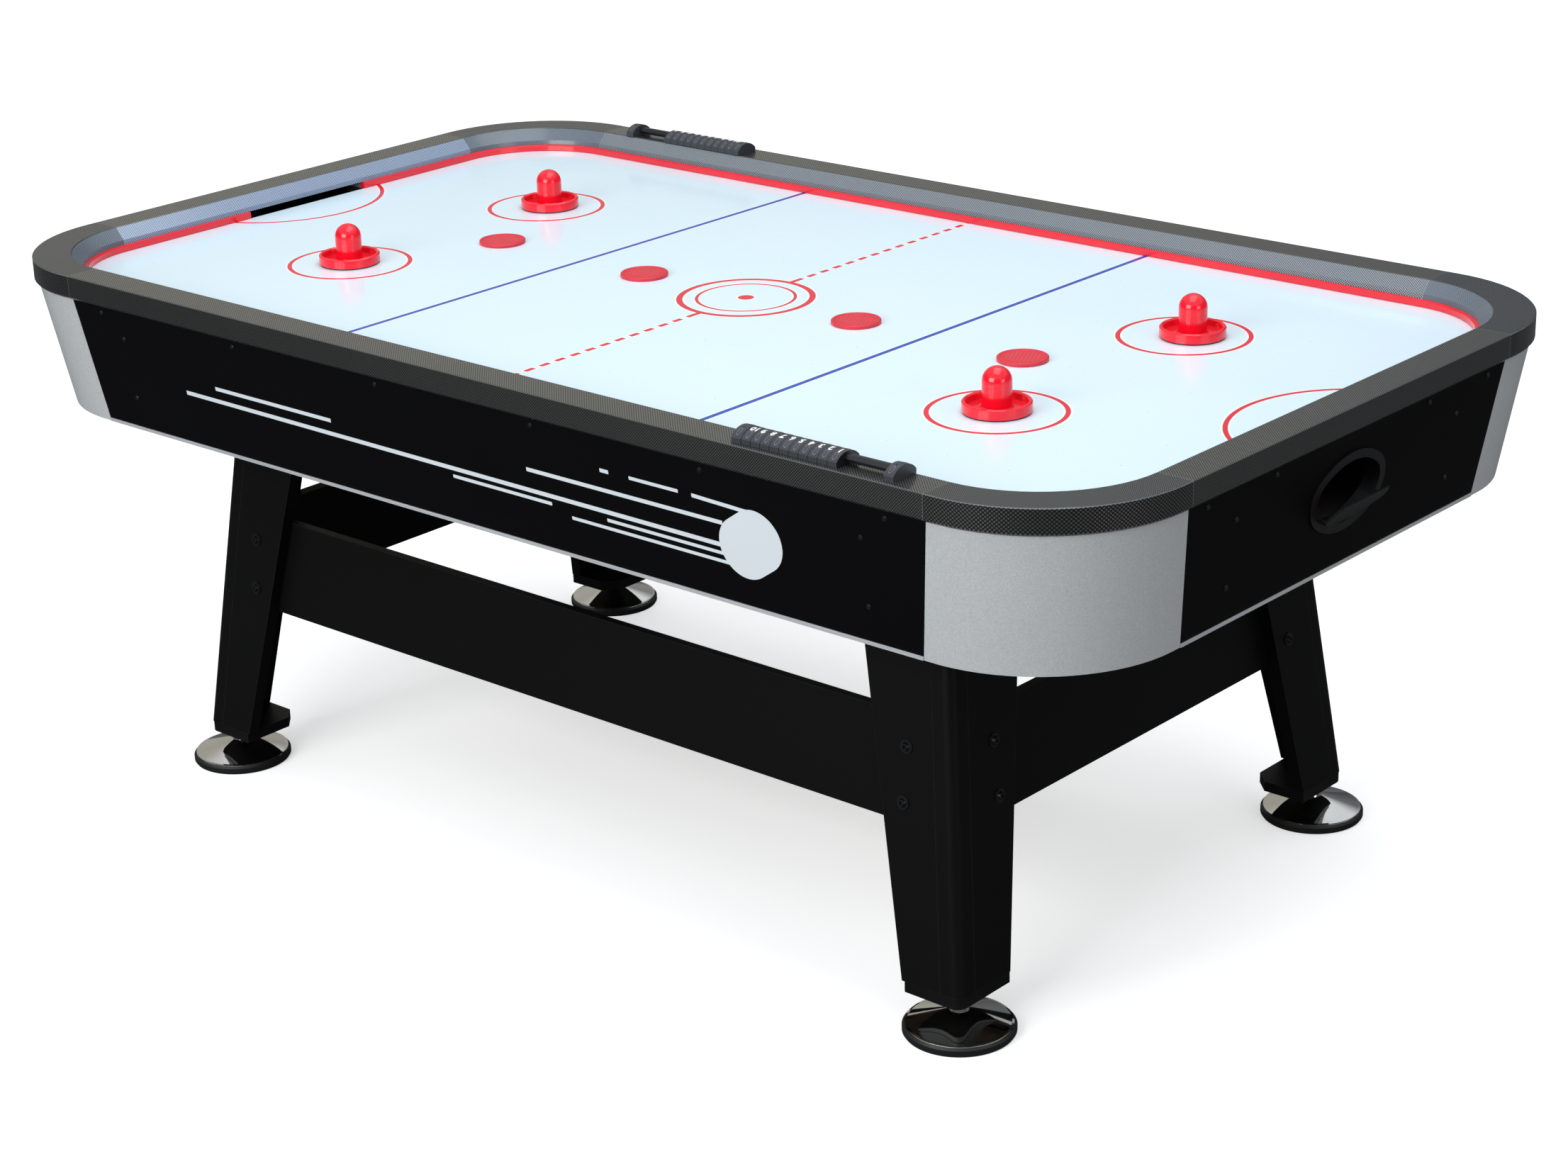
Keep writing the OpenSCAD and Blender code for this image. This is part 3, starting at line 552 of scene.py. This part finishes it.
PLAIN = {
    # colour, roughness, grain, bump, rounded edge in millimetres, wear, specular level
    "panel": ("#08080A", 0.5, 900.0, 0.1, 0.8, 0.22, 0.05),
    "cup": ("#131315", 0.45, 1400.0, 0.25, 0.5, 0.15, 0.25),
    "leg": ("#0B0B0C", 0.45, 700.0, 0.08, 1.2, 0.1, 0.12),
    "leg_block": ("#0B0B0C", 0.5, 1100.0, 0.2, 0.8, 0.15, 0.15),
    "scorer": ("#34373D", 0.4, 1600.0, 0.22, 0.3, 0.15, 0.5),
    "blower_plastic": ("#2A2C30", 0.5, 1300.0, 0.3, 0.6, 0.15, 0.5),
    "switch": ("#1B1C1F", 0.3, 1500.0, 0.12, 0.5, 0.15, 0.5),
    "rod": ("#1A1C20", 0.3, 1600.0, 0.15, 0.3, 0.0, 0.5),
}


def plain(name):
    """One of the plain lacquers and plastics in the table above."""
    colour, rough, grain, bump, edge, wear, gleam = PLAIN[name]
    settings = {"Specular IOR Level": gleam}
    return moulded(
        name, linear(colour), rough, grain, bump, edge=edge * MM, wear=wear, settings=settings
    ).material


finishes = {
    "field_board": field_board(),
    "cushion": cushion(),
    "corner_shell": corner_shell(),
    "trim": trim(),
    # the timber's dark brown tones are partly a dark-stained board and partly painted shade for the
    # unlit inside seen through the cups
    "timber": timber("timber", "#2B2119", "#43352A"),
    "base_board": base_board("base_board", "#5A4634", "#77604A"),
    "fastener": fastener(),
    "motor": fastener(),
    "foot": foot(),
    "mallet": mallet(),
    "puck": puck(),
}
finishes.update({name: plain(name) for name in PLAIN if name != "rod"})
own_finish = {
    "goal_boxes": base_board("goal_box", "#191513", "#2B2520"),
    "scorer_rods": plain("rod"),
    "side_rails": rail_wrap("rail_film_side", "x"),
    "end_rails": rail_wrap("rail_film_end", "y"),
    "rail_corners": rail_wrap("rail_film_corner", "corner"),
}
bead_finish = bead()
slots = {p["node"]: p["material_slot"] for p in frame["record"]["subparts"]}
for name, obj in nodes.items():
    finish = own_finish.get(name) or finishes[slots[name]]
    obj.data.materials.clear()
    obj.data.materials.append(bead_finish if "_bead_" in name else finish)


# ---- mesh helpers ----


def make_object(name, mesh, materials, body):
    """Puts a mesh in the scene as a piece that rides on body."""
    obj = bpy.data.objects.new(name, mesh)
    bpy.context.scene.collection.objects.link(obj)
    for material in materials:
        mesh.materials.append(material)
    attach(obj, body)


def sheet(bm, outline, thick, place):
    """A thin closed plate from a flat outline; place turns (a, b, height) into a point."""
    low = [bm.verts.new(place(a, b, 0.0)) for a, b in outline]
    high = [bm.verts.new(place(a, b, thick)) for a, b in outline]
    bm.faces.new(high)
    bm.faces.new(low[::-1])
    count = len(outline)
    for i in range(count):
        j = (i + 1) % count
        bm.faces.new((low[i], low[j], high[j], high[i]))


def bar(a0, a1, b0, b1, thick, nick=0.5 * MM):
    """A slim bar from (a0, b0) to (a1, b1) with its corners just taken off."""
    h = thick / 2
    return [
        (a0 + nick, b0 - h),
        (a1 - nick, b1 - h),
        (a1, b1 - h + nick),
        (a1, b1 + h - nick),
        (a1 - nick, b1 + h),
        (a0 + nick, b0 + h),
        (a0, b0 + h - nick),
        (a0, b0 - h + nick),
    ]


def disc_outline(centre, radius, reach, tilt, steps=28):
    """Two equal discs a short way apart along tilt, joined by their tangents."""
    points = []
    for end in (1, -1):
        for i in range(steps + 1):
            angle = tilt - math.pi / 2 + math.pi * i / steps + (0 if end == 1 else math.pi)
            points.append(
                (
                    centre[0] + end * reach * math.cos(tilt) + radius * math.cos(angle),
                    centre[1] + end * reach * math.sin(tilt) + radius * math.sin(angle),
                )
            )
    return points


# ---- decals on the long panels: stripes running into a disc ----

STRIPES = [
    # start x, end x, start z, end z, thickness, in millimetres
    (-522.6, -266.9, 708.0, 708.0, 6.0),
    (-595.0, 492.0, 688.0, 684.4, 6.6),
    (-21.0, 172.0, 674.0, 673.8, 5.2),
    (132.0, 489.0, 717.0, 717.0, 6.0),
    (275.5, 291.4, 746.0, 746.0, 5.6),
    (328.6, 416.3, 746.0, 746.0, 5.0),
    (440.0, 540.0, 745.6, 742.6, 5.6),
    (275.5, 492.0, 673.0, 672.4, 4.9),
    (207.6, 500.0, 661.0, 660.4, 4.9),
]
DISC_CENTRE = (534 * MM, 696 * MM)
DISC_R, DISC_REACH, DISC_TILT = 43.5 * MM, 13.6 * MM, math.radians(34)
DECAL_LIFT = 0.05 * MM
INLET_CLEARANCE = 150 * MM  # the far decal is this much nearer the middle than the near one


def panel_decal(name, turn, shift):
    """The stripes and disc on a long panel, turned to its side and moved along it by shift."""
    bm = bmesh.new()
    face_top = HALF_W - PANEL_INSET
    normal = Vector((0, -1, -PANEL_SLOPE)).normalized()

    def place(a, b, height):
        y = -(face_top - PANEL_SLOPE * (PANEL_HI.z - b))
        point = Vector((a - shift, y, b)) + normal * (DECAL_LIFT + height)
        return Matrix.Rotation(turn, 3, "Z") @ point

    for i, (x0, x1, z0, z1, thick) in enumerate(STRIPES):
        outline = bar(x0 * MM, x1 * MM, z0 * MM, z1 * MM, thick * MM)
        sheet(bm, outline, (0.10 + 0.004 * i) * MM, place)  # no two faces share a plane
    sheet(bm, disc_outline(DISC_CENTRE, DISC_R, DISC_REACH, DISC_TILT), 0.16 * MM, place)
    bmesh.ops.recalc_face_normals(bm, faces=bm.faces)
    mesh = bpy.data.meshes.new(name)
    bm.to_mesh(mesh)
    bm.free()
    make_object(name, mesh, [decal_ink], "table")


decal_ink = ink("decal_ink", "#DFE8EE")
numeral_ink = ink("numeral_ink", "#F4F6F8")
mark_finish = moulded("scorer_mark", linear("#6A7079"), 0.34, grain=1600.0, bump=0.15).material
panel_decal("near_panel_decal", 0.0, 0.0)
panel_decal("far_panel_decal", math.pi, INLET_CLEARANCE)


# ---- scorer numerals and finger marks ----

BEAD_SIDE = 6.5 * MM  # height of a bead's upright sides
NUMERAL_SIZE, NUMERAL_WEIGHT, NUMERAL_OUT = 13.6 * MM, 0.42 * MM, 3.5 * MM
ONE_DIGIT, TWO_DIGITS = 9.4 * MM, 12.4 * MM  # widest print
PRINT_SUNK, PRINT_THICK = 0.05 * MM, 0.2 * MM
MARK_OUT, MARK_HALF_A, MARK_HALF_B, MARK_TUBE = 14.6 * MM, 2.3 * MM, 5.2 * MM, 0.45 * MM


def crown_height(low, high, y):
    """Height of a bead's crown at y."""
    width = high.y - low.y
    rise = high.z - low.z - BEAD_SIDE
    radius = (width * width / 4 + rise * rise) / (2 * rise)
    offset = y - (low.y + high.y) / 2
    return high.z - radius + math.sqrt(max(0.0, radius * radius - offset * offset))


def numeral_mesh(text):
    """A flat numeral about its own centre, reading along +X with its top to +Y."""
    curve = bpy.data.curves.new("numeral", "FONT")
    curve.body = text
    curve.size = NUMERAL_SIZE
    curve.offset = NUMERAL_WEIGHT
    curve.resolution_u = 4
    obj = bpy.data.objects.new("numeral", curve)
    bpy.context.scene.collection.objects.link(obj)
    bpy.context.view_layer.update()
    evaluated = obj.evaluated_get(bpy.context.evaluated_depsgraph_get())
    mesh = bpy.data.meshes.new_from_object(evaluated)
    bpy.data.objects.remove(obj)
    bpy.data.curves.remove(curve)
    xs = [v.co.x for v in mesh.vertices]
    ys = [v.co.y for v in mesh.vertices]
    middle = Vector(((min(xs) + max(xs)) / 2, (min(ys) + max(ys)) / 2, 0))
    widest = ONE_DIGIT if len(text) == 1 else TWO_DIGITS
    squeeze = min(1.0, widest / (max(xs) - min(xs)))
    for v in mesh.vertices:
        v.co -= middle
        v.co.x *= squeeze
    return mesh


def oval_ring(bm, place, half_a, half_b, tube, steps=36, sides=6):
    """A raised oval line laid on a surface: place turns (a, b, height) into a point."""
    rings = []
    for i in range(steps):
        t = math.tau * i / steps
        straight = half_b - half_a
        a, b = half_a * math.cos(t), half_a * math.sin(t) + math.copysign(straight, math.sin(t))
        ring = []
        for k in range(sides):
            s = math.tau * k / sides
            grow = 1 + tube * math.cos(s) / half_a
            out, up = tube * math.cos(s), tube * 0.7 * math.sin(s)
            ring.append(bm.verts.new(place(a * grow, b + out * math.sin(t), up)))
        rings.append(ring)
    for i in range(steps):
        one, two = rings[i], rings[(i + 1) % steps]
        for k in range(sides):
            m = (k + 1) % sides
            bm.faces.new((one[k], two[k], two[m], one[m]))


def add_marks(bm, low, high, material_index):
    """The oval finger mark on both slopes of one bead or bracket."""
    middle = (low + high) / 2
    start = len(bm.faces)
    for side in (-1, 1):

        def place(a, b, height):
            y = middle.y + side * (MARK_OUT + b)
            return Vector((middle.x + a, y, crown_height(low, high, y) + height))

        oval_ring(bm, place, MARK_HALF_A, MARK_HALF_B, MARK_TUBE)
    bm.faces.ensure_lookup_table()
    for face in bm.faces[start:]:
        face.material_index = material_index
        face.smooth = True


def bead_print(side, k):
    """One bead's numeral, readable from the middle of the table, and its finger marks."""
    bead = f"{side}_bead_{k}"
    low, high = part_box(bead)
    middle = (low + high) / 2
    inward = 1 if side == "near" else -1
    mesh = numeral_mesh(str(k))
    bm = bmesh.new()
    bm.from_mesh(mesh)
    bpy.data.meshes.remove(mesh)
    for cut in range(-6, 7):  # 1 mm strips, so that the print bends over the crown
        geometry = bm.verts[:] + bm.edges[:] + bm.faces[:]
        bmesh.ops.bisect_plane(bm, geom=geometry, plane_co=(0, cut * MM, 0), plane_no=(0, 1, 0))
    for v in bm.verts:
        x = middle.x - inward * v.co.x
        y = middle.y - inward * (NUMERAL_OUT + v.co.y)
        v.co = Vector((x, y, crown_height(low, high, y) - PRINT_SUNK))
    raised = bmesh.ops.extrude_face_region(bm, geom=bm.faces[:], use_keep_orig=True)
    for v in raised["geom"]:
        if isinstance(v, bmesh.types.BMVert):
            v.co.z += PRINT_THICK
    add_marks(bm, low, high, 1)
    bmesh.ops.recalc_face_normals(bm, faces=bm.faces)
    mesh = bpy.data.meshes.new(f"{bead}_print")
    bm.to_mesh(mesh)
    bm.free()
    make_object(f"{bead}_print", mesh, [numeral_ink, mark_finish], bead)


SCREW_TURN = [math.tau * i / 16 for i in range(16)]
SCREW_PROFILE = ((1.5, -0.3), (1.4, 0.15), (0.9, 0.2), (0.5, -0.1))  # radius, height in mm
SCREW_OUT = 5.5 * MM


def small_screw(bm, top):
    """A domed screw head with a dimple, let into a surface at top."""
    rings = []
    for r, h in SCREW_PROFILE:
        ring = [(r * MM * math.cos(t), r * MM * math.sin(t), h * MM) for t in SCREW_TURN]
        rings.append([bm.verts.new(top + Vector(p)) for p in ring])
    for one, two in zip(rings, rings[1:]):
        for i in range(len(one)):
            j = (i + 1) % len(one)
            bm.faces.new((one[i], one[j], two[j], two[i])).material_index = 1
    bm.faces.new(rings[-1]).material_index = 1
    bm.faces.new(rings[0][::-1]).material_index = 1


BRACKET_L = 15.6 * MM
BEAD_GAP = 0.4 * MM
BRACKET_MARGIN = 0.5 * MM  # a bracket is this much wider than a bead on each side


def bracket_marks(side):
    """The finger mark and a small screw on each bracket of one scorer."""
    low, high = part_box(f"{side}_bead_10")
    out = -1 if side == "near" else 1
    fixed = (low.x if side == "near" else high.x) + out * (BEAD_GAP + BRACKET_L / 2)
    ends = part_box("scorer_brackets")
    free = (ends[1].x if side == "near" else ends[0].x) + out * BRACKET_L / 2
    lift = Vector((0, 0, ends[1].z - high.z))
    bm = bmesh.new()
    for centre in (fixed, free):
        a = Vector((centre - BRACKET_L / 2, low.y - BRACKET_MARGIN, low.z)) + lift
        b = Vector((centre + BRACKET_L / 2, high.y + BRACKET_MARGIN, high.z)) + lift
        add_marks(bm, a, b, 0)
        for way in (-1, 1):
            y = (a.y + b.y) / 2 + way * SCREW_OUT
            small_screw(bm, Vector((centre, y, crown_height(a, b, y))))
    bmesh.ops.recalc_face_normals(bm, faces=bm.faces)
    mesh = bpy.data.meshes.new(f"{side}_bracket_marks")
    bm.to_mesh(mesh)
    bm.free()
    make_object(f"{side}_bracket_marks", mesh, [mark_finish, finishes["fastener"]], "table")


for side in ("near", "far"):
    bracket_marks(side)
    for k in range(1, 11):
        bead_print(side, k)


# ---- studio: pale floor, soft light, camera ----

FLOOR_SIDES = 48
FLOOR_Z = -0.2 * MM


def studio_floor():
    """A pale disc under the object; seen from below it is left out."""
    bm = bmesh.new()
    rings = []
    turn = [math.tau * i / FLOOR_SIDES for i in range(FLOOR_SIDES)]
    for r in (0.5, 2.0, 6.0, 20.0, 60.0):
        rings.append([bm.verts.new((r * math.cos(t), r * math.sin(t), FLOOR_Z)) for t in turn])
    bm.faces.new(rings[0])
    for inner, outer in zip(rings, rings[1:]):
        for i in range(FLOOR_SIDES):
            j = (i + 1) % FLOOR_SIDES
            bm.faces.new((inner[i], outer[i], outer[j], inner[j]))
    mesh = bpy.data.meshes.new("studio_floor")
    bm.to_mesh(mesh)
    bm.free()
    obj = bpy.data.objects.new("studio_floor", mesh)
    bpy.context.scene.collection.objects.link(obj)
    matt = {"Roughness": 0.9, "Specular IOR Level": 0.1, "Emission Color": (1, 1, 1, 1)}
    g = Graph("studio_floor", matt)
    seen = Val(g, g.node("ShaderNodeLightPath").outputs["Is Camera Ray"])
    pale = g.mix(g.noise(2.0, 2.0), linear("#F0F0F0"), linear("#F6F6F6"))
    g.set("Base Color", g.mix(seen, linear("#6C6C6C"), pale))
    g.set("Emission Strength", seen * 0.5)
    from_below = g.node("ShaderNodeMixShader")
    g.feed(from_below.inputs[0], g.node("ShaderNodeNewGeometry").outputs["Backfacing"])
    g.feed(from_below.inputs[1], g.shader.outputs[0])
    g.feed(from_below.inputs[2], g.node("ShaderNodeBsdfTransparent").outputs[0])
    g.feed(g.output.inputs["Surface"], from_below.outputs[0])
    mesh.materials.append(g.material)


TABLE_MIDDLE = Vector((0, 0, 0.7))


def studio_light(name, place, size, power, tint):
    """A soft rectangular light aimed at the middle of the table."""
    data = bpy.data.lights.new(name, "AREA")
    data.shape = "RECTANGLE"
    data.size, data.size_y = size
    data.energy = power
    data.color = tint
    obj = bpy.data.objects.new(name, data)
    obj.location = place
    obj.rotation_mode = "QUATERNION"
    obj.rotation_quaternion = (TABLE_MIDDLE - Vector(place)).to_track_quat("-Z", "Y")
    bpy.context.scene.collection.objects.link(obj)


ROOM_TONES = (
    # height in the room, tone
    (0.0, (0.08, 0.08, 0.09, 1)),
    (0.38, (0.2, 0.21, 0.23, 1)),
    (0.58, (0.9, 0.95, 1.0, 1)),
)
PATCH_TOWARD = Vector((-0.85, 0.45, 0.3))  # a dimmer patch beyond the far left corner
PATCH_TONE = (0.5, 0.49, 0.44, 1)


def studio_world():
    """White behind the object; a softer grey room for everything that it reflects."""
    world = bpy.data.worlds.new("studio")
    bpy.context.scene.world = world
    world.use_nodes = True
    tree = world.node_tree
    tree.nodes.clear()
    output = tree.nodes.new("ShaderNodeOutputWorld")
    path = tree.nodes.new("ShaderNodeLightPath")
    mix = tree.nodes.new("ShaderNodeMixShader")
    room = tree.nodes.new("ShaderNodeBackground")
    back = tree.nodes.new("ShaderNodeBackground")
    place = tree.nodes.new("ShaderNodeTexCoord")
    split = tree.nodes.new("ShaderNodeSeparateXYZ")
    ramp = tree.nodes.new("ShaderNodeValToRGB")
    tree.links.new(place.outputs["Generated"], split.inputs[0])
    tree.links.new(split.outputs["Z"], ramp.inputs["Fac"])
    (start, dark), (middle, grey), (end, bright) = ROOM_TONES
    first, last = ramp.color_ramp.elements
    first.position, first.color = start, dark
    last.position, last.color = end, bright
    ramp.color_ramp.elements.new(middle).color = grey
    toward = tree.nodes.new("ShaderNodeVectorMath")
    toward.operation = "DOT_PRODUCT"
    toward.inputs[1].default_value = PATCH_TOWARD.normalized()
    tree.links.new(place.outputs["Generated"], toward.inputs[0])
    patch = tree.nodes.new("ShaderNodeMapRange")
    patch.inputs["From Min"].default_value = 0.8
    patch.inputs["From Max"].default_value = 0.98
    patch.interpolation_type = "SMOOTHSTEP"
    tree.links.new(toward.outputs["Value"], patch.inputs["Value"])
    tint = tree.nodes.new("ShaderNodeMix")
    tint.data_type = "RGBA"
    tree.links.new(patch.outputs["Result"], tint.inputs["Factor"])
    tree.links.new(ramp.outputs["Color"], tint.inputs["A"])
    tint.inputs["B"].default_value = PATCH_TONE
    tree.links.new(tint.outputs[2], room.inputs["Color"])
    room.inputs["Strength"].default_value = 0.8
    back.inputs["Color"].default_value = (1, 1, 1, 1)
    tree.links.new(path.outputs["Is Camera Ray"], mix.inputs["Fac"])
    tree.links.new(room.outputs[0], mix.inputs[1])
    tree.links.new(back.outputs[0], mix.inputs[2])
    tree.links.new(mix.outputs[0], output.inputs["Surface"])


def studio_camera():
    """The photograph's viewpoint: high in front of the near right corner."""
    data = bpy.data.cameras.new("camera")
    data.sensor_width = 36
    data.lens = 73.84
    data.shift_x = -0.0015
    data.clip_start, data.clip_end = 0.1, 200
    camera = bpy.data.objects.new("camera", data)
    right = Vector((0.75405, 0.65632, -0.02559))
    up = Vector((-0.21661, 0.28527, 0.93365))
    back = Vector((0.62007, -0.69848, 0.35727))
    pose = Matrix((right, up, back)).transposed().to_4x4()
    pose.translation = Vector((3.1249, -3.4469, 2.1097))
    camera.matrix_world = pose
    bpy.context.scene.collection.objects.link(camera)
    bpy.context.scene.camera = camera


studio_floor()
studio_world()
studio_light("key", (0.1, -4.4, 2.1), (3.0, 2.0), 140, (1.0, 1.0, 0.99))
studio_light("top", (0.4, 0.2, 4.4), (4.2, 2.6), 76, (0.99, 0.995, 1.0))
studio_light("fill", (4.6, -0.6, 1.5), (2.0, 1.6), 30, (1.0, 0.96, 0.93))
studio_camera()
bpy.context.scene.view_settings.view_transform = "Standard"
